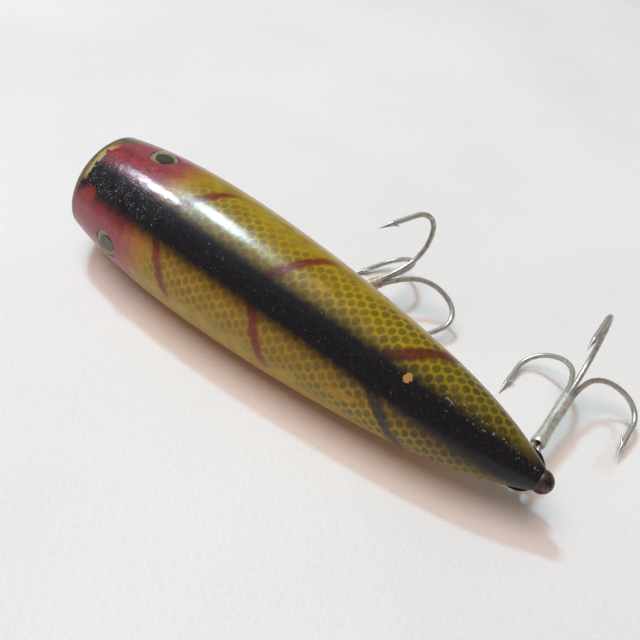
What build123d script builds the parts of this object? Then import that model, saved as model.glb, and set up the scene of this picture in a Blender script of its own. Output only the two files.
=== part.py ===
"""A wooden crankbait lure, built in its own frame and then laid down on a table as it rests.

The lure's own frame, in millimetres: X runs along the body from the tail to the nose, Y points
to the left side and Z to the back. The tail tip is near the origin. The pieces are laid down when
they are written: the lure rests on its left flank, propped by its two treble hooks.
"""

import os
from math import atan2, cos, degrees, radians, sin, sqrt

from build123d import *

os.makedirs("parts", exist_ok=True)

# Turned body
tail_face_x = 0.8
lip_x = 97.0
belly_x = 58.0
max_radius = 11.7
tail_radius = 1.9
nose_edge_radius = 0.7

# Scooped nose: an arc across the body, seen from the side
scoop_top = (89.4, 9.6)
scoop_middle = (91.2, 0.6)
scoop_bottom = (97.2, -8.4)

# Fits
glue_gap = 0.02
link_gap = 0.1

# Screw eyes
eye_wire = 1.2
eye_ring_radius = 2.0
eye_blend_radius = 0.9
screw_tip_length = 1.6
belly_eye_x = 49.7
belly_eye_drop = 11.6
belly_screw_length = 15.0
tail_eye_x = 3.9
tail_eye_drop = 7.7
tail_screw_length = 9.0
line_tie_x = 95.1
line_tie_z = -1.5
tie_face_x = 91.9
line_tie_screw_length = 17.0

# Belly hook cup and tail washer
cup_inner_radius = 3.6
cup_wall = 0.4
cup_depth = 3.0
cup_flange_radius = 4.8
cup_face_drop = 11.1
washer_radius = 3.5
washer_thickness = 0.5
washer_drop = 3.1
tie_washer_radius = 2.2
tie_washer_thickness = 0.35

# Glass eyes
eye_x = 78.8
eye_angle = 53.0
eye_seat_radius = 10.2
eye_radius = 2.5
pupil_radius = 1.5
iris_thickness = 0.4
pupil_thickness = 0.15
dome_height = 1.25
stem_radius = 0.4
stem_length = 5.0

# Tail pin
pin_head_radius = 1.82
pin_head_base = 1.77
pin_radius = 0.5
pin_length = 1.9

# Treble hooks
hook_wire = 0.95
hook_eye_radius = 1.75
hook_neck_radius = 1.2
flare_angle = 17.0
flare_radius = 21.5
point_offset = 12.47
bend_radius = 3.9
point_length = 4.85
tip_length = 3.0
barb_length = 2.2
barb_angle = 30.0

wire_offset = hook_wire * 0.605
shank_end = 13.9
single_shank_start = 3.2
braze_start = 2.75
braze_end = 14.4
braze_radius = 1.19
flare_run = flare_radius * (1 - cos(radians(flare_angle)))
bend_width = point_offset - wire_offset - flare_run - bend_radius
first_bend_radius = bend_width / cos(radians(flare_angle))

# How the trebles hang: swung out to the right side from straight down, leaned aft, then spun
belly_side_angle = 58.7
belly_aft_angle = 24.4
belly_spin = -10.8
tail_side_angle = 53.4
tail_aft_angle = -2.3
tail_spin = -5.4

# How the lure lies on the table
roll = -45.4
pitch = -1.9


def body_outline():
    """Half outline of the turned body, from the tail face round the belly to the lip."""
    tail = (tail_face_x, tail_radius)
    quarter = (9.0, 5.25)
    waist = (27.0, 9.0)
    belly = (belly_x, max_radius)
    shoulder = (82.5, 10.75)
    lip = (lip_x + 1.0, 7.2)
    return Spline(tail, quarter, waist, belly, shoulder, lip)


def radial_plane(x, angle, radius):
    """A plane square to a radius of the body, at an angle from the back towards the left side."""
    outward = Vector(0, sin(radians(angle)), cos(radians(angle)))
    return Plane(origin=Vector(x, 0, 0) + outward * radius, x_dir=(1, 0, 0), z_dir=outward)


def screw_eye(screw_length):
    """A screw eye with its ring round the origin, across X, and its screw pointing up Z."""
    wire_radius = eye_wire / 2
    shank_top = screw_length - screw_tip_length
    blend_z = sqrt(eye_ring_radius**2 + 2 * eye_ring_radius * eye_blend_radius)
    blend_angle = degrees(atan2(blend_z, eye_blend_radius))
    with BuildPart() as piece:
        with BuildLine(Plane.YZ) as path:
            shank = Line((0, shank_top), (0, blend_z))
            blend = JernArc(shank @ 1, (0, -1), eye_blend_radius, blend_angle)
            JernArc(blend @ 1, blend % 1, eye_ring_radius, -(2 * blend_angle + 179))
        with BuildSketch(Plane.XY.offset(shank_top)):
            Circle(wire_radius)
        sweep(path=path.wire())
        with BuildSketch(Plane.XY.offset(shank_top)):
            Circle(wire_radius)
        with BuildSketch(Plane.XY.offset(screw_length)):
            Circle(wire_radius * 0.15)
        loft()
    return piece


def add_cone(base, base_radius, end_radius, length):
    """Add a slim cone that grows from a plane, such as the point or the barb of a hook."""
    with BuildSketch(base) as cone_base:
        Circle(base_radius)
    with BuildSketch(base.offset(length)) as cone_end:
        Circle(end_radius)
    loft(sections=[cone_base.sketch, cone_end.sketch])


def add_hook(angle, wire_radius):
    """Add one hook to the piece being built: the wire curls away from the shank at an angle."""
    outward = Vector(cos(radians(angle)), sin(radians(angle)), 0)
    hook_plane = Plane(origin=(0, 0, 0), x_dir=outward, z_dir=outward.cross(Vector(0, 0, 1)))
    with BuildLine(hook_plane) as curve:
        flare = JernArc((wire_offset, shank_end), (0, 1), flare_radius, -flare_angle)
        first = JernArc(flare @ 1, flare % 1, first_bend_radius, flare_angle - 90)
        second = JernArc(first @ 1, first % 1, bend_radius, -90)
        leg = Line(second @ 1, second @ 1 + (second % 1) * point_length)
    with BuildSketch(Plane(origin=flare @ 0, z_dir=(0, 0, 1))) as wire_section:
        Circle(wire_radius)
    sweep(sections=wire_section.sketch, path=curve.wire())
    point_start = Plane(origin=leg @ 1, x_dir=outward, z_dir=leg % 1)
    add_cone(point_start, wire_radius, wire_radius * 0.08, tip_length)
    back = (leg % 1) * -cos(radians(barb_angle)) - outward * sin(radians(barb_angle))
    barb_root = leg @ 1 + (leg % 1) * (tip_length * 0.15)
    barb_start = Plane(origin=barb_root, x_dir=hook_plane.z_dir, z_dir=back)
    add_cone(barb_start, wire_radius * 0.6, wire_radius * 0.1, barb_length)


def treble_double():
    """The wire bent to an eye round the origin with a hook at each end; its shank runs up Z."""
    wire_radius = hook_wire / 2
    side_x = wire_offset * cos(radians(30))
    back_y = -wire_offset * sin(radians(30))
    neck_x = side_x + hook_neck_radius
    neck_z = sqrt((hook_eye_radius + hook_neck_radius) ** 2 - neck_x**2)
    neck_angle = degrees(atan2(neck_z, neck_x))
    with BuildPart() as piece:
        with BuildLine(Plane.XZ.offset(-back_y)) as path:
            shank = Line((side_x, shank_end), (side_x, neck_z))
            neck = JernArc(shank @ 1, shank % 1, hook_neck_radius, neck_angle)
            eye = JernArc(neck @ 1, neck % 1, hook_eye_radius, -(2 * neck_angle + 180))
            far_neck = JernArc(eye @ 1, eye % 1, hook_neck_radius, neck_angle)
            Line(far_neck @ 1, (-side_x, shank_end))
        with BuildSketch(Plane(origin=shank @ 0, z_dir=(0, 0, -1))):
            Circle(wire_radius)
        sweep(path=path.wire())
        add_hook(-30, wire_radius)
        add_hook(210, wire_radius)
    return piece


def treble_single():
    """The third hook, with a straight shank that lies against the other two wires."""
    wire_radius = hook_wire / 2
    with BuildPart() as piece:
        with BuildSketch(Plane.XY.offset(single_shank_start)):
            with Locations((0, wire_offset)):
                Circle(wire_radius)
        extrude(amount=shank_end - single_shank_start)
        fillet(piece.edges().group_by(Axis.Z)[0], wire_radius * 0.6)
        add_hook(90, wire_radius)
    return piece


def treble_braze():
    """The brazing: a smooth sleeve round the three wires, a little slimmer towards the bends."""
    slim_radius = braze_radius * 0.95
    with BuildPart() as piece:
        with BuildSketch(Plane.XZ):
            with BuildLine():
                Polyline((0, braze_end), (0, braze_start), (slim_radius, braze_start))
                Spline(
                    (slim_radius, braze_start),
                    (braze_radius, braze_start + 1.2),
                    (slim_radius, braze_end),
                    tangents=((0.6, 1), (-0.02, 1)),
                )
                Line((slim_radius, braze_end), (0, braze_end))
            make_face()
        revolve(axis=Axis.Z)
        with BuildSketch(Plane.XY.offset(braze_start - 1)):
            with PolarLocations(wire_offset, 3, start_angle=90):
                Circle(hook_wire / 2 + glue_gap)
            Circle(wire_offset * 0.6)
        extrude(amount=braze_end - braze_start + 2, mode=Mode.SUBTRACT)
    return piece


def hanging_plane(eye_x, eye_drop, side_angle, aft_angle, spin):
    """Where a treble hangs: its eye linked through the screw eye's ring, its shank along Z."""
    outward = Vector(0, -sin(radians(side_angle)), -cos(radians(side_angle)))
    shank = outward * cos(radians(aft_angle)) - Vector(1, 0, 0) * sin(radians(aft_angle))
    forward = Vector(1, 0, 0) * cos(radians(aft_angle)) + outward * sin(radians(aft_angle))
    hook_side = forward * cos(radians(spin)) + shank.cross(forward) * sin(radians(spin))
    ring_wire = Vector(eye_x, 0, -eye_drop) + outward * eye_ring_radius
    hold = hook_eye_radius - (eye_wire + hook_wire) / 2 - link_gap
    return Plane(origin=ring_wire + shank * hold, x_dir=hook_side, z_dir=shank)


def finish(piece, name, place):
    """Label a finished piece and put it in its place on the lure, rolled and pitched as it rests."""
    piece.part.label = name
    resting_pieces[name] = piece.part.moved(resting_tilt * place)


resting_pieces = {}
resting_tilt = Location((0, 0, 0), (0, pitch, 0)) * Location((0, 0, 0), (roll, 0, 0))
own_frame = Location((0, 0, 0))
belly_eye_plane = Plane(origin=(belly_eye_x, 0, -belly_eye_drop), z_dir=(0, 0, 1))
tail_eye_plane = Plane(origin=(tail_eye_x, 0, -tail_eye_drop), z_dir=(0, 0, 1))
line_tie_plane = Plane(origin=(line_tie_x, 0, line_tie_z), x_dir=(0, 1, 0), z_dir=(-1, 0, 0))

# Body: turned, scooped at the nose, then drilled and recessed for everything it carries
with BuildPart() as wooden_body:
    with BuildSketch(Plane.XZ):
        with BuildLine():
            outline = body_outline()
            Polyline(outline @ 1, ((outline @ 1).X, 0), (tail_face_x, 0), outline @ 0)
        make_face()
    revolve(axis=Axis.X)
    with BuildSketch(Plane.XZ):
        with BuildLine():
            cut = ThreePointArc(scoop_top, scoop_middle, scoop_bottom)
            lead_in = Line((scoop_top[0] - 0.6, scoop_top[1] + 4), scoop_top)
            lead_out = Line(scoop_bottom, (scoop_bottom[0] + 3, scoop_bottom[1] - 4))
            Polyline(lead_out @ 1, (lip_x + 9, -14), (lip_x + 9, 14), lead_in @ 0)
        make_face()
    extrude(amount=max_radius + 2, both=True, mode=Mode.SUBTRACT)
    nose_rim = wooden_body.edges().filter_by(lambda e: e.center().X > scoop_top[0] - 1)
    fillet(nose_rim, nose_edge_radius)
    with BuildSketch(Plane.XY.offset(-cup_face_drop + cup_wall - glue_gap)):
        with Locations((belly_eye_x, 0)):
            Circle(cup_flange_radius + glue_gap)
    extrude(amount=-max_radius, mode=Mode.SUBTRACT)
    with BuildSketch(Plane.XY.offset(-cup_face_drop)):
        with Locations((belly_eye_x, 0)):
            Circle(cup_inner_radius + cup_wall + glue_gap)
    extrude(amount=cup_depth + cup_wall + glue_gap, mode=Mode.SUBTRACT)
    with BuildSketch(Plane.XY.offset(-washer_drop + washer_thickness)):
        with Locations((tail_eye_x, 0)):
            Circle(washer_radius + glue_gap)
    extrude(amount=-max_radius, mode=Mode.SUBTRACT)
    with BuildSketch(Plane.XY.offset(-belly_eye_drop)):
        with Locations((belly_eye_x, 0)):
            Circle(eye_wire / 2 + glue_gap)
    extrude(amount=belly_screw_length + 0.3, mode=Mode.SUBTRACT)
    with BuildSketch(Plane.XY.offset(-tail_eye_drop)):
        with Locations((tail_eye_x, 0)):
            Circle(eye_wire / 2 + glue_gap)
    extrude(amount=tail_screw_length + 0.3, mode=Mode.SUBTRACT)
    with BuildSketch(Plane.YZ.offset(lip_x)):
        with Locations((0, line_tie_z)):
            Circle(eye_wire / 2 + glue_gap)
    extrude(amount=-(lip_x - line_tie_x + line_tie_screw_length + 0.3), mode=Mode.SUBTRACT)
    with BuildSketch(Plane.YZ.offset(lip_x)):
        with Locations((0, line_tie_z)):
            Circle(tie_washer_radius + glue_gap)
    extrude(amount=tie_face_x - lip_x, mode=Mode.SUBTRACT)
    with BuildSketch(Plane.YZ):
        Circle(pin_radius + glue_gap)
    extrude(amount=tail_face_x + pin_length + 0.1, mode=Mode.SUBTRACT)
    for side_angle in (eye_angle, -eye_angle):
        with BuildSketch(radial_plane(eye_x, side_angle, eye_seat_radius)):
            Circle(eye_radius + glue_gap)
        extrude(amount=3, mode=Mode.SUBTRACT)
        with BuildSketch(radial_plane(eye_x, side_angle, eye_seat_radius)):
            Circle(stem_radius + glue_gap)
        extrude(amount=-(stem_length + 0.1), mode=Mode.SUBTRACT)
finish(wooden_body, "wooden_body", own_frame)

# Line tie in the scoop, with its washer
line_tie = screw_eye(line_tie_screw_length)
finish(line_tie, "line_tie", line_tie_plane.location)
with BuildPart() as line_tie_washer:
    with BuildSketch(Plane.YZ.offset(tie_face_x + glue_gap)):
        with Locations((0, line_tie_z)):
            Circle(tie_washer_radius)
            Circle(eye_wire / 2 + glue_gap, mode=Mode.SUBTRACT)
    extrude(amount=tie_washer_thickness)
finish(line_tie_washer, "line_tie_washer", own_frame)

# Belly: the cup let into the wood and the screw eye through its floor
with BuildPart() as belly_hook_cup:
    with BuildSketch(Plane.XY.offset(-cup_face_drop)):
        with Locations((belly_eye_x, 0)):
            Circle(cup_flange_radius)
    extrude(amount=cup_wall - 2 * glue_gap)
    with BuildSketch(Plane.XY.offset(-cup_face_drop)):
        with Locations((belly_eye_x, 0)):
            Circle(cup_inner_radius + cup_wall)
    extrude(amount=cup_depth + cup_wall)
    fillet(belly_hook_cup.edges().group_by(Axis.Z)[-1], 0.8)
    with BuildSketch(Plane.XY.offset(-cup_face_drop)):
        with Locations((belly_eye_x, 0)):
            Circle(cup_inner_radius)
    extrude(amount=cup_depth, mode=Mode.SUBTRACT)
    with BuildSketch(Plane.XY.offset(-cup_face_drop)):
        with Locations((belly_eye_x, 0)):
            Circle(eye_wire / 2 + glue_gap)
    extrude(amount=cup_depth + 2, mode=Mode.SUBTRACT)
    fillet(belly_hook_cup.edges().group_by(Axis.Z)[0], 0.12)
finish(belly_hook_cup, "belly_hook_cup", own_frame)
belly_screw_eye = screw_eye(belly_screw_length)
finish(belly_screw_eye, "belly_screw_eye", belly_eye_plane.location)

# Tail: the washer under the tail, its screw eye, and the round-headed pin in the tip
with BuildPart() as tail_hook_washer:
    with BuildSketch(Plane.XY.offset(-washer_drop)):
        with Locations((tail_eye_x, 0)):
            Circle(washer_radius)
            Circle(eye_wire / 2 + glue_gap, mode=Mode.SUBTRACT)
    extrude(amount=washer_thickness - glue_gap)
    fillet(tail_hook_washer.edges().group_by(Axis.Z)[0].sort_by(SortBy.LENGTH)[-1], 0.3)
finish(tail_hook_washer, "tail_hook_washer", own_frame)
tail_screw_eye = screw_eye(tail_screw_length)
finish(tail_screw_eye, "tail_screw_eye", tail_eye_plane.location)
with BuildPart() as tail_pin:
    pin_base_x = tail_face_x - glue_gap
    pin_head_height = pin_head_radius + sqrt(pin_head_radius**2 - pin_head_base**2)
    with BuildSketch(Plane.XZ):
        with BuildLine():
            pin_top = (pin_base_x - pin_head_height, 0)
            pin_dome = RadiusArc((pin_base_x, pin_head_base), pin_top, -pin_head_radius)
            Polyline(pin_dome @ 1, (pin_base_x, 0), pin_dome @ 0)
        make_face()
    revolve(axis=Axis.X)
    with BuildSketch(Plane.YZ.offset(tail_face_x - 0.5)):
        Circle(pin_radius)
    extrude(amount=pin_length + 0.5)
    chamfer(tail_pin.edges().group_by(Axis.X)[-1], 0.25)
finish(tail_pin, "tail_pin", own_frame)

# Eyes: painted iris disc, pupil, glass dome and wire stem, one set on each side
for side, side_angle in (("left", eye_angle), ("right", -eye_angle)):
    seat = radial_plane(eye_x, side_angle, eye_seat_radius + glue_gap)
    with BuildPart() as eye_iris:
        with BuildSketch(seat):
            Circle(eye_radius)
        extrude(amount=iris_thickness)
    finish(eye_iris, f"eye_iris_{side}", own_frame)
    with BuildPart() as eye_pupil:
        with BuildSketch(seat.offset(iris_thickness + glue_gap)):
            Circle(pupil_radius)
        extrude(amount=pupil_thickness)
    finish(eye_pupil, f"eye_pupil_{side}", own_frame)
    sphere_radius = (eye_radius**2 + dome_height**2) / (2 * dome_height)
    with BuildPart() as eye_glass:
        dome_base = seat.offset(iris_thickness + glue_gap)
        with BuildSketch(Plane(origin=dome_base.origin, x_dir=(1, 0, 0), z_dir=dome_base.y_dir * -1)):
            with BuildLine():
                Line((0, 0), (eye_radius, 0))
                RadiusArc((eye_radius, 0), (0, dome_height), -sphere_radius)
                Line((0, dome_height), (0, 0))
            make_face()
        revolve(axis=Axis(dome_base.origin, dome_base.z_dir))
        with BuildSketch(dome_base):
            Circle(pupil_radius + glue_gap)
        extrude(amount=pupil_thickness + glue_gap, mode=Mode.SUBTRACT)
    finish(eye_glass, f"eye_glass_{side}", own_frame)
    with BuildPart() as eye_stem:
        with BuildSketch(seat.offset(-2 * glue_gap)):
            Circle(stem_radius)
        extrude(amount=-(stem_length - 0.2))
    finish(eye_stem, f"eye_stem_{side}", own_frame)

# Treble hooks: the same three pieces, hung once under the belly and once under the tail
belly_hang = hanging_plane(belly_eye_x, belly_eye_drop, belly_side_angle, belly_aft_angle, belly_spin)
tail_hang = hanging_plane(tail_eye_x, tail_eye_drop, tail_side_angle, tail_aft_angle, tail_spin)
hook_pieces = {"double": treble_double(), "single": treble_single(), "braze": treble_braze()}
for where, hang in (("belly", belly_hang), ("tail", tail_hang)):
    for kind, piece in hook_pieces.items():
        finish(piece, f"{where}_hook_{kind}", hang.location)

# The origin is on the table, under the middle of everything
extent = Compound(resting_pieces.values()).bounding_box()
on_table = Location((-extent.center().X, -extent.center().Y, -extent.min.Z))
for name, resting_piece in resting_pieces.items():
    export_step(resting_piece.moved(on_table), f"parts/{name}.step")
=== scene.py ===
"""The looks of a wooden crankbait that lies on a pale table.

The paint is laid out in the lure's own frame, in millimetres: x runs from the tail to the nose,
y to its left side and z to its back. Angles round the body start at the back, in degrees, and are
positive to the left.
"""

from math import cos, radians, sin

import bpy
from mathutils import Matrix, Vector

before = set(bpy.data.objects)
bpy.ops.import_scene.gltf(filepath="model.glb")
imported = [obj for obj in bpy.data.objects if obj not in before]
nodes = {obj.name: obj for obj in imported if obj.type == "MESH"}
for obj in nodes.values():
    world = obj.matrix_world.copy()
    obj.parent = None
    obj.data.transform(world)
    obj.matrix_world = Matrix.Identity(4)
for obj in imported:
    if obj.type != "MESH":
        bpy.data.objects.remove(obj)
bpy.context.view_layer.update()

MM_PER_METRE = 1000.0
DEGREES_PER_RADIAN = 57.29578

# How the lure lies in the row frame: rolled onto its left side, nose a little up, then set down
ROLL = radians(-45.4)
PITCH = radians(-1.9)
LURE_ORIGIN = Vector((-45.362, 13.103, 9.771))
LURE_TURN = Matrix.Rotation(PITCH, 3, "Y") @ Matrix.Rotation(ROLL, 3, "X")

# The sprayed scales, in millimetres: the net repeats after two columns along the body and after one
# cell round it, and a cell is an ellipse with these half axes
NET_X = 2.4
NET_ROUND = 2.04
CELL_X = 0.66
CELL_ROUND = 0.84

# The bars of each side, from the head: where one starts on the back, how far it leans towards the
# nose per degree round the body, and per degree squared, the angle it ends at, and half its width
BARS = (
    (69.6, -0.105, 0.0, 66.0, 0.95),
    (49.4, -0.098, 0.0, 70.0, 1.0),
    (29.2, -0.170, 0.0006, 92.0, 1.25),
)

# Where the paint ends at the nose, on the back and on the sides, and how much further back it is
# worn off on the right
NOSE_EDGE_BACK = 88.0
NOSE_EDGE_SIDE = 89.6
NOSE_EDGE_WORN = 5.2


def world_direction(x, y, z):
    """A direction in the lure's own frame, as one in the row frame."""
    return (LURE_TURN @ Vector((x, y, z))).normalized()


def world_point(x, y, z):
    """A point in the lure's own frame, in millimetres, as one in the row frame, in metres."""
    return (LURE_TURN @ Vector((x, y, z)) + LURE_ORIGIN) / MM_PER_METRE


def srgb(red, green, blue):
    """A colour as it looks on a screen, made linear for a shader."""

    def linear(c):
        return c / 12.92 if c <= 0.04045 else ((c + 0.055) / 1.055) ** 2.4

    return (linear(red), linear(green), linear(blue), 1.0)


class Paint:
    """One node material, with short names for the nodes that the looks are made of."""

    def __init__(self, name):
        self.material = bpy.data.materials.new(name)
        self.material.use_nodes = True
        self.tree = self.material.node_tree
        self.tree.nodes.clear()
        self.output = self.tree.nodes.new("ShaderNodeOutputMaterial")

    def fill(self, socket, value):
        """Link a socket to another one, or set its value."""
        if isinstance(value, bpy.types.NodeSocket):
            self.tree.links.new(value, socket)
        else:
            socket.default_value = value

    def math(self, operation, *values):
        node = self.tree.nodes.new("ShaderNodeMath")
        node.operation = operation
        for socket, value in zip(node.inputs, values):
            self.fill(socket, value)
        return node.outputs[0]

    def add(self, a, b):
        return self.math("ADD", a, b)

    def sub(self, a, b):
        return self.math("SUBTRACT", a, b)

    def mul(self, *values):
        product = values[0]
        for value in values[1:]:
            product = self.math("MULTIPLY", product, value)
        return product

    def top(self, a, b):
        return self.math("MAXIMUM", a, b)

    def abs(self, a):
        return self.math("ABSOLUTE", a)

    def invert(self, a):
        return self.math("SUBTRACT", 1.0, a)

    def smooth(self, value, start, end, low=0.0, high=1.0):
        """Goes softly from low to high as value goes from start to end."""
        node = self.tree.nodes.new("ShaderNodeMapRange")
        node.interpolation_type = "SMOOTHSTEP"
        for socket, number in zip(node.inputs, (value, start, end, low, high)):
            self.fill(socket, number)
        return node.outputs[0]

    def sway(self, noise, reach):
        """Noise from 0 to 1, made to run evenly either side of zero."""
        return self.mul(self.sub(noise, 0.5), reach)

    def along(self, point, axis, origin):
        """How far a point lies from the origin along an axis."""
        node = self.tree.nodes.new("ShaderNodeVectorMath")
        node.operation = "DOT_PRODUCT"
        self.fill(node.inputs[0], point)
        self.fill(node.inputs[1], axis)
        return self.add(node.outputs["Value"], -origin.dot(axis))

    def object_mm(self):
        """The piece's own coordinates, in millimetres."""
        coordinates = self.tree.nodes.new("ShaderNodeTexCoord").outputs["Object"]
        node = self.tree.nodes.new("ShaderNodeVectorMath")
        node.operation = "SCALE"
        self.fill(node.inputs[0], coordinates)
        node.inputs["Scale"].default_value = MM_PER_METRE
        return node.outputs["Vector"]

    def noise(self, place, scale, detail=2.0, roughness=0.5, distortion=0.0):
        """Noise from 0 to 1, with about that many waves to a millimetre."""
        node = self.tree.nodes.new("ShaderNodeTexNoise")
        self.fill(node.inputs["Vector"], place)
        node.inputs["Scale"].default_value = scale
        node.inputs["Detail"].default_value = detail
        node.inputs["Roughness"].default_value = roughness
        node.inputs["Distortion"].default_value = distortion
        return node.outputs["Fac"]

    def mix(self, share, under, over):
        """The colour under, with that share of the colour over laid on it."""
        node = self.tree.nodes.new("ShaderNodeMix")
        node.data_type = "RGBA"
        self.fill(node.inputs["Factor"], share)
        self.fill(node.inputs[6], under)
        self.fill(node.inputs[7], over)
        return node.outputs[2]

    def bump(self, height, distance, strength=1.0, normal=None):
        """The normal of a relief whose height, 0 to 1, stands for that many millimetres."""
        node = self.tree.nodes.new("ShaderNodeBump")
        node.inputs["Strength"].default_value = strength
        node.inputs["Distance"].default_value = distance / MM_PER_METRE
        self.fill(node.inputs["Height"], height)
        if normal:
            self.fill(node.inputs["Normal"], normal)
        return node.outputs[0]

    def shade(self, **settings):
        """Close the material with one Principled shader."""
        shader = self.tree.nodes.new("ShaderNodeBsdfPrincipled")
        for name, value in settings.items():
            self.fill(shader.inputs[name.replace("_", " ")], value)
        self.tree.links.new(shader.outputs[0], self.output.inputs["Surface"])
        return self.material


def lure_paint():
    """The body's paint: cream belly, scaled gold back, maroon bars, black stripe and red head."""
    p = Paint("lure_paint")
    place = p.object_mm()
    x, y, z = [p.along(place, axis, LURE_ORIGIN) for axis in LURE_TURN.col]
    turn = p.math("ARCTAN2", y, z)
    angle = p.mul(turn, DEGREES_PER_RADIAN)
    side = p.abs(angle)
    radius = p.math("SQRT", p.add(p.mul(y, y), p.mul(z, z)))
    around = p.mul(turn, radius)
    right = p.smooth(angle, 4.0, -4.0)
    left = p.invert(right)

    broad = p.noise(place, 0.09, 3.0)
    soft = p.noise(place, 0.45, 3.0)
    grain = p.noise(place, 2.2, 4.0, 0.6)
    fine = p.noise(place, 7.0, 3.0, 0.65)

    # Cream under-coat and gold back; the left flank is painted browner as shade, being the side
    # turned from the light, and golden where it faces the table
    cream = p.mix(p.smooth(broad, 0.35, 0.65), srgb(0.72, 0.58, 0.30), srgb(0.66, 0.50, 0.22))
    low_left = p.mul(left, p.smooth(side, 24.0, 58.0), p.smooth(side, 160.0, 130.0))
    cream = p.mix(p.mul(low_left, 0.8), cream, srgb(0.64, 0.45, 0.14))
    cream = p.mix(p.mul(low_left, p.smooth(side, 78.0, 96.0)), cream, srgb(0.80, 0.55, 0.09))
    gold_edge = p.add(p.smooth(x, 30.0, 6.0, 76.0, 104.0), p.sway(soft, 18.0))
    gold_share = p.smooth(p.sub(side, gold_edge), 12.0, -14.0)
    gold = p.mix(p.smooth(soft, 0.3, 0.7), srgb(0.66, 0.56, 0.02), srgb(0.58, 0.48, 0.03))
    gold = p.mix(p.mul(p.smooth(x, 30.0, 10.0), 0.8), gold, srgb(0.46, 0.41, 0.08))
    # A painted warm cast on the left flank, standing in for the warm light on that side; brown
    # specks are thicker there
    painted_warm_left = p.mul(left, p.smooth(side, 70.0, 14.0), p.smooth(x, 6.0, 24.0))
    gold = p.mix(p.mul(painted_warm_left, 0.35), gold, srgb(0.67, 0.42, 0.03))
    brown_specks = p.mul(p.smooth(fine, 0.52, 0.66), p.smooth(soft, 0.42, 0.62))
    brown_share = p.mul(brown_specks, p.add(p.mul(painted_warm_left, 0.4), 0.12))
    gold = p.mix(brown_share, gold, srgb(0.52, 0.24, 0.06))

    # Sprayed scales: two nets of ellipses, one shifted by half a step both ways, a little uneven
    net_x = p.add(x, p.sway(p.noise(place, 0.35, 1.0), 0.7))
    net_round = p.add(around, p.sway(p.noise(place, 0.31, 1.0), 0.7))
    nearest = 9.0
    for shift in (0.0, 0.5):
        step_x = p.math("FRACT", p.add(p.mul(net_x, 1 / NET_X), shift))
        step_round = p.math("FRACT", p.add(p.mul(net_round, 1 / NET_ROUND), shift))
        u = p.sway(step_x, NET_X / CELL_X)
        v = p.sway(step_round, NET_ROUND / CELL_ROUND)
        nearest = p.math("MINIMUM", p.add(p.mul(u, u), p.mul(v, v)), nearest)
    cell = p.smooth(p.add(nearest, p.sway(grain, 0.5)), 1.25, 0.35)
    scale_edge = p.add(p.smooth(x, 52.0, 10.0, 50.0, 78.0), p.sway(soft, 16.0))
    scale_share = p.mul(
        p.smooth(p.sub(side, scale_edge), 10.0, -10.0),
        p.smooth(x, 3.0, 8.0),
        p.smooth(p.add(x, p.sway(soft, 6.0)), 72.0, 66.0),
    )
    cell_colour = p.mix(p.smooth(x, 45.0, 12.0), srgb(0.47, 0.38, 0.0), srgb(0.25, 0.23, 0.04))
    cell_strength = p.mul(scale_share, p.smooth(p.noise(place, 0.25, 2.0), 0.2, 0.7, 0.65, 0.95))
    gold = p.mix(p.mul(cell, cell_strength), gold, cell_colour)
    grime = p.smooth(p.noise(place, 3.0, 5.0, 0.75), 0.5, 0.72, 0.0, 0.45)
    gold = p.mix(grime, gold, srgb(0.36, 0.28, 0.04))
    colour = p.mix(gold_share, cream, gold)

    # Red head, through a speckled orange fade: crimson by the stripe, and lower down a dusky pink
    # that is a painted sheen, where the varnish catches the pale room at a slant
    ragged = p.sway(p.noise(place, 0.5, 4.0, 0.65), 7.0)
    head_x = p.add(x, p.add(ragged, p.sway(fine, 4.0)))
    orange = p.mul(p.smooth(head_x, 67.5, 72.5), p.smooth(side, 80.0, 40.0))
    orange_share = p.mul(orange, p.smooth(grain, 0.35, 0.6, 0.2, 0.75))
    colour = p.mix(orange_share, colour, srgb(0.66, 0.33, 0.12))
    blotches = p.smooth(p.noise(place, 0.9, 4.0, 0.6), 0.35, 0.65)
    red = p.mix(blotches, srgb(0.42, 0.02, 0.07), srgb(0.60, 0.09, 0.13))
    # Painted sheen: the rose and the pale pink lower down stand for reflections in the varnish
    rose = p.mix(p.smooth(grain, 0.35, 0.65), srgb(0.52, 0.22, 0.27), srgb(0.60, 0.30, 0.33))
    rose_start = p.add(p.mul(right, 12.0), p.add(26.0, p.sway(soft, 10.0)))
    red = p.mix(p.smooth(p.sub(side, rose_start), -5.0, 10.0, 0.0, 0.9), red, rose)
    red = p.mix(p.smooth(side, 56.0, 84.0, 0.0, 0.8), red, srgb(0.70, 0.48, 0.46))
    red_share = p.mul(p.smooth(head_x, 70.5, 75.5), p.smooth(side, 125.0, 88.0))
    colour = p.mix(red_share, colour, red)

    # Three maroon bars on each side, swept back towards the belly, the last left one blue-black
    squared = p.mul(side, side)
    wobble = p.sway(soft, 1.2)
    bar_share = 0.0
    for start, slope, curl, end, half_width in BARS:
        middle = p.add(p.add(p.mul(side, slope), p.mul(squared, curl)), start)
        away = p.abs(p.add(p.sub(x, middle), wobble))
        stroke = p.smooth(p.add(away, p.sway(fine, 0.5)), half_width + 0.45, half_width - 0.5)
        bar = p.mul(stroke, p.smooth(side, end, end - 16.0))
        bar_share = p.top(bar, bar_share)
    tail_bar = p.mul(bar, left)
    bar_colour = p.mix(p.smooth(grain, 0.35, 0.7), srgb(0.36, 0.05, 0.03), srgb(0.52, 0.13, 0.03))
    bar_colour = p.mix(p.smooth(x, 34.0, 26.0, 0.0, 0.6), bar_colour, srgb(0.24, 0.09, 0.05))
    bar_colour = p.mix(tail_bar, bar_colour, srgb(0.09, 0.09, 0.11))
    colour = p.mix(p.mul(bar_share, 0.88), colour, bar_colour)

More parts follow.
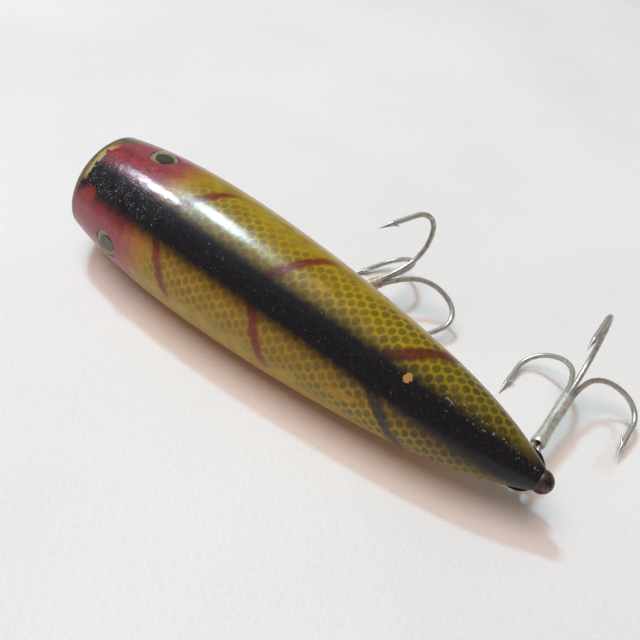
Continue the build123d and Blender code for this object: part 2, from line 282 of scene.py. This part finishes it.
    # Black stripe down the back, soft at both edges
    stripe_middle = p.smooth(x, 40.0, 12.0, 0.5, 0.9)
    stripe_away = p.abs(p.sub(around, stripe_middle))
    stripe_edge = p.add(stripe_away, p.sway(p.noise(place, 0.7, 4.0, 0.6), 1.1))
    stripe = p.smooth(stripe_edge, 3.5, 1.9)
    black = p.mix(p.smooth(grain, 0.3, 0.8), srgb(0.03, 0.025, 0.05), srgb(0.07, 0.055, 0.085))
    haze = p.mul(p.smooth(stripe_edge, 5.8, 2.4), 0.75)
    colour = p.mix(haze, colour, p.mix(left, srgb(0.13, 0.09, 0.02), srgb(0.17, 0.05, 0.02)))
    colour = p.mix(stripe, colour, black)
    tail_tip = p.smooth(p.add(x, p.sway(soft, 4.0)), 5.0, 1.0)
    colour = p.mix(tail_tip, colour, srgb(0.06, 0.06, 0.08))

    # Pale flecks along the stripe, thick near both ends: wear at the tail, partly painted glints on
    # the head. Then chips and smears
    specks = p.smooth(p.noise(place, 4.0, 3.0, 0.7), 0.57, 0.66)
    painted_glints = p.mul(specks, p.smooth(p.noise(place, 0.6, 3.0), 0.38, 0.62))
    dashes = p.smooth(p.noise(place, 1.3, 4.0, 0.8, 1.5), 0.64, 0.70)
    tail_place = p.mul(
        p.smooth(x, 24.0, 16.0),
        p.smooth(angle, -44.0, -28.0),
        p.smooth(angle, -4.0, -14.0),
    )
    head_place = p.mul(
        p.smooth(x, 64.0, 78.0),
        p.smooth(angle, -38.0, -14.0),
        p.smooth(angle, 22.0, 2.0),
    )
    wear_and_glint_place = p.math("MINIMUM", p.add(tail_place, head_place), 1.0)
    flecks = p.smooth(p.add(p.noise(place, 1.9, 5.0, 0.72), p.mul(tail_place, 0.05)), 0.62, 0.70)
    fleck_share = p.mul(flecks, p.math("MINIMUM", p.add(wear_and_glint_place, 0.16), 1.0))
    fleck_share = p.top(fleck_share, p.mul(dashes, p.smooth(side, 26.0, 12.0)))
    colour = p.mix(p.mul(fleck_share, 0.7), colour, srgb(0.62, 0.60, 0.53))
    # Bluish-white painted glints on the head, faint along the stripe, where crazed varnish would
    # sparkle
    glint_place = p.top(head_place, p.mul(p.smooth(side, 20.0, 12.0), 0.07))
    colour = p.mix(p.mul(painted_glints, glint_place, 0.8), colour, srgb(0.72, 0.73, 0.78))

    def blot(at_x, at_angle, long, wide, tilt=0.0, rough=0.45):
        """A patch of that size, in millimetres, round a point of the body, with a ragged edge."""
        local_round = p.mul(p.sub(turn, radians(at_angle)), radius)
        local_x = p.sub(x, at_x)
        along = p.add(p.mul(local_x, cos(tilt)), p.mul(local_round, sin(tilt)))
        across = p.sub(p.mul(local_round, cos(tilt)), p.mul(local_x, sin(tilt)))
        along = p.mul(along, 1 / long)
        across = p.mul(across, 1 / wide)
        away = p.math("SQRT", p.add(p.mul(along, along), p.mul(across, across)))
        return p.smooth(p.add(away, p.sway(grain, rough * 2)), 1.08, 0.92)

    colour = p.mix(blot(22.8, -9.0, 0.62, 0.8, 0.0, 0.7), colour, srgb(0.66, 0.51, 0.24))
    patch = p.mul(blot(85.2, 19.0, 1.9, 1.3, 0.3, 1.1), p.smooth(fine, 0.3, 0.5, 0.5, 0.95))
    colour = p.mix(patch, colour, srgb(0.52, 0.16, 0.14))
    colour = p.mix(p.mul(blot(30.0, 43.0, 2.6, 0.9, 0.1), 0.55), colour, srgb(0.68, 0.50, 0.04))
    colour = p.mix(p.mul(blot(41.5, -30.0, 2.2, 0.6), 0.5), colour, srgb(0.70, 0.52, 0.14))

    # The nose: paint rubbed to yellow along its edge, then the bare brown bevel and scoop
    edge_x = p.add(p.smooth(side, 0.0, 90.0, NOSE_EDGE_BACK, NOSE_EDGE_SIDE), p.sway(grain, 1.1))
    worn_side = p.smooth(angle, -24.0, -76.0, 0.0, NOSE_EDGE_WORN)
    edge_x = p.sub(edge_x, p.mul(worn_side, p.smooth(angle, -122.0, -84.0)))
    past_edge = p.sub(x, edge_x)
    rim_width = p.smooth(soft, 0.35, 0.65, 0.3, 1.3)
    rim = p.mul(
        p.smooth(p.add(past_edge, rim_width), -0.15, 0.15),
        p.smooth(angle, 14.0, 2.0),
        p.smooth(side, 46.0, 26.0),
    )
    colour = p.mix(rim, colour, srgb(0.66, 0.62, 0.37))
    bare = p.mix(p.smooth(soft, 0.3, 0.7), srgb(0.36, 0.30, 0.20), srgb(0.47, 0.40, 0.27))
    colour = p.mix(p.smooth(past_edge, -0.1, 0.25), colour, bare)

    # Varnish: glossy, with a little orange peel, sunk at the flecks and crackled on the head, where
    # it shines most
    peel = p.noise(place, 1.1, 3.0, 0.55)
    crackle = p.mul(p.noise(place, 2.6, 3.0, 0.6), p.add(head_place, 0.1))
    normal = p.bump(peel, 0.03, 0.6)
    normal = p.bump(crackle, 0.06, 0.8, normal)
    normal = p.bump(fleck_share, -0.04, 0.6, normal)
    return p.shade(
        Base_Color=colour,
        Roughness=p.smooth(grain, 0.3, 0.7, 0.38, 0.5),
        Normal=normal,
        Specular_IOR_Level=0.1,
        Coat_Weight=0.6,
        Coat_Roughness=p.sub(p.smooth(fine, 0.3, 0.7, 0.19, 0.26), p.mul(head_place, 0.12)),
        Coat_IOR=1.5,
        Coat_Normal=normal,
    )


def worn_metal(name, bright, dark, pits, roughness, pit_share, scale=1.0, metal=1.0):
    """Old metal, mottled from bright to dark, and pitted. A larger scale is a finer mottling."""
    p = Paint(name)
    place = p.object_mm()
    mottle = p.noise(place, 0.9 * scale, 4.0, 0.6)
    grain = p.noise(place, 5.0 * scale, 4.0, 0.7)
    spots = p.smooth(grain, 0.58, 0.70)
    colour = p.mix(p.smooth(mottle, 0.35, 0.68), bright, dark)
    colour = p.mix(p.mul(spots, pit_share), colour, pits)
    normal = p.bump(grain, 0.04, 0.5)
    return p.shade(
        Base_Color=colour,
        Metallic=p.sub(metal, p.mul(spots, metal * 0.55)),
        Roughness=p.smooth(mottle, 0.3, 0.7, roughness - 0.07, roughness + 0.12),
        Normal=normal,
    )


def iris_paint():
    """Pale yellow paint behind the glass, faintly mottled."""
    p = Paint("iris_paint")
    place = p.object_mm()
    tone = p.noise(place, 1.6, 4.0, 0.6)
    colour = p.mix(p.smooth(tone, 0.3, 0.7), srgb(0.64, 0.62, 0.47), srgb(0.50, 0.50, 0.37))
    return p.shade(Base_Color=colour, Roughness=0.45, Normal=p.bump(tone, 0.03, 0.4))


def pupil_paint():
    """Dark grey-green paint."""
    p = Paint("pupil_paint")
    place = p.object_mm()
    tone = p.noise(place, 2.0, 3.0)
    colour = p.mix(p.smooth(tone, 0.3, 0.7), srgb(0.14, 0.16, 0.15), srgb(0.22, 0.25, 0.23))
    return p.shade(Base_Color=colour, Roughness=0.4, Normal=p.bump(tone, 0.02, 0.3))


def eye_glass():
    """Clear old glass, faintly yellow and slightly uneven."""
    p = Paint("eye_glass")
    place = p.object_mm()
    waves = p.noise(place, 0.8, 2.0)
    return p.shade(
        Base_Color=srgb(0.97, 0.97, 0.93),
        Roughness=0.03,
        IOR=1.06,
        Transmission_Weight=1.0,
        Coat_Weight=0.2,
        Coat_Roughness=0.05,
        Normal=p.bump(waves, 0.02, 0.4),
    )


def table_top():
    """A matt white table top with a faint weave."""
    p = Paint("table_top")
    place = p.object_mm()
    broad = p.noise(place, 0.012, 3.0)
    weave = p.noise(place, 1.3, 3.0, 0.6)
    colour = p.mix(p.smooth(broad, 0.3, 0.7), srgb(0.925, 0.92, 0.915), srgb(0.90, 0.895, 0.89))
    colour = p.mix(p.smooth(weave, 0.45, 0.75, 0.0, 0.25), colour, srgb(0.86, 0.855, 0.85))
    return p.shade(
        Base_Color=colour, Roughness=0.75, Specular_IOR_Level=0.25, Normal=p.bump(weave, 0.25, 0.5)
    )


def named(*starts):
    """The names of the pieces that start so."""
    return [name for name in nodes if name.startswith(starts)]


def dress(names, material):
    """Give those pieces that material alone."""
    for name in names:
        mesh = nodes[name].data
        mesh.materials.clear()
        mesh.materials.append(material)


hook_wire = worn_metal(
    "hook_wire",
    bright=srgb(0.76, 0.75, 0.71),
    dark=srgb(0.63, 0.61, 0.57),
    pits=srgb(0.34, 0.30, 0.25),
    roughness=0.32,
    pit_share=0.45,
    metal=0.6,
)
eye_wire = worn_metal(
    "screw_eye_wire",
    bright=srgb(0.72, 0.70, 0.66),
    dark=srgb(0.52, 0.49, 0.45),
    pits=srgb(0.22, 0.18, 0.14),
    roughness=0.36,
    pit_share=0.5,
)
brass = worn_metal(
    "old_brass",
    bright=srgb(0.27, 0.22, 0.13),
    dark=srgb(0.15, 0.12, 0.08),
    pits=srgb(0.07, 0.06, 0.04),
    roughness=0.46,
    pit_share=0.6,
    metal=0.8,
)
bronze = worn_metal(
    "tail_pin_bronze",
    bright=srgb(0.40, 0.33, 0.31),
    dark=srgb(0.17, 0.13, 0.13),
    pits=srgb(0.09, 0.07, 0.07),
    roughness=0.36,
    pit_share=0.7,
    metal=0.8,
)
belly_braze = worn_metal(
    "belly_braze",
    bright=srgb(0.80, 0.74, 0.67),
    dark=srgb(0.62, 0.51, 0.43),
    pits=srgb(0.34, 0.24, 0.18),
    roughness=0.45,
    pit_share=0.6,
    scale=1.5,
    metal=0.5,
)
tail_braze = worn_metal(
    "tail_braze",
    bright=srgb(0.80, 0.79, 0.75),
    dark=srgb(0.66, 0.64, 0.59),
    pits=srgb(0.42, 0.39, 0.34),
    roughness=0.42,
    pit_share=0.6,
    scale=1.5,
    metal=0.5,
)

dress(["wooden_body"], lure_paint())
dress(named("belly_hook_double", "belly_hook_single"), hook_wire)
dress(named("tail_hook_double", "tail_hook_single"), hook_wire)
dress(["belly_hook_braze"], belly_braze)
dress(["tail_hook_braze"], tail_braze)
dress(["belly_screw_eye", "tail_screw_eye", "line_tie"], eye_wire)
dress(["belly_hook_cup", "tail_hook_washer", "line_tie_washer"], brass)
dress(["tail_pin"], bronze)
dress(named("eye_iris"), iris_paint())
dress(named("eye_pupil"), pupil_paint())
dress(named("eye_glass"), eye_glass())
dress(named("eye_stem"), eye_wire)

# The table
TABLE_HALF = 1.2
corners = [(x * TABLE_HALF, y * TABLE_HALF, 0) for x, y in ((-1, -1), (1, -1), (1, 1), (-1, 1))]
table_mesh = bpy.data.meshes.new("table_top")
table_mesh.from_pydata(corners, [], [(0, 1, 2, 3)])
table = bpy.data.objects.new("table_top", table_mesh)
table_mesh.materials.append(table_top())
bpy.context.scene.collection.objects.link(table)


def area_light(name, direction, distance, width, height, power, colour):
    """A soft box that faces the lure from that direction, with its width along the lure."""
    data = bpy.data.lights.new(name, "AREA")
    data.shape = "RECTANGLE"
    data.size = width
    data.size_y = height
    data.energy = power
    data.color = colour
    lamp = bpy.data.objects.new(name, data)
    back = Vector(direction).normalized()
    long_way = Vector((1, 0, 0))
    across = (long_way - long_way.dot(back) * back).normalized()
    up = back.cross(across)
    turn = Matrix((across, up, back)).transposed().to_4x4()
    lamp.matrix_world = Matrix.Translation(back * distance) @ turn
    bpy.context.scene.collection.objects.link(lamp)
    return lamp


# Cool light from a window on the lure's right, which casts the warm shadow
window_way = world_direction(0.48, -0.667, 0.546)
area_light("window", window_way, 1.2, 0.15, 0.09, 5.2, (0.40, 0.82, 1.0))

# The window's glare on the flank and a lamp's glare on the head: reflections only
sheen_way = world_direction(0.48, -0.70, 0.50)
sheen = area_light("window_sheen", sheen_way, 1.2, 0.07, 0.22, 7.0, (0.75, 0.94, 1.0))
sheen.visible_diffuse = False
lamp_way = world_direction(0.667, -0.480, 0.568)
lamp = area_light("lamp", lamp_way, 1.3, 0.09, 0.06, 12.0, (0.72, 0.84, 1.0))
lamp.visible_diffuse = False

# Warm light from the ceiling, not reflected, so that the black stripe stays dark
room = area_light("room", (0.18, 0.25, 0.95), 1.5, 1.0, 1.0, 16.2, (1.0, 0.85, 0.80))
room.visible_glossy = False

# Warm fill from all round
world = bpy.data.worlds.new("room")
world.use_nodes = True
background = world.node_tree.nodes["Background"]
background.inputs["Color"].default_value = (1.0, 0.84, 0.77, 1)
background.inputs["Strength"].default_value = 0.285
bpy.context.scene.world = world
bpy.context.scene.view_settings.view_transform = "Standard"

# The camera looks down along the back, from the tail's right
camera_data = bpy.data.cameras.new("camera")
camera_data.lens = 42.28
camera_data.sensor_width = 36.0
camera_data.clip_start = 0.001
camera = bpy.data.objects.new("camera", camera_data)
camera_right = world_direction(-0.773, -0.567, -0.284)
camera_up = world_direction(0.531, -0.824, 0.200)
camera_back = world_direction(-0.347, 0.004, 0.938)
camera_turn = Matrix((camera_right, camera_up, camera_back)).transposed().to_4x4()
camera.matrix_world = Matrix.Translation(world_point(-0.2, -0.6, 113.1)) @ camera_turn
bpy.context.scene.collection.objects.link(camera)
bpy.context.scene.camera = camera
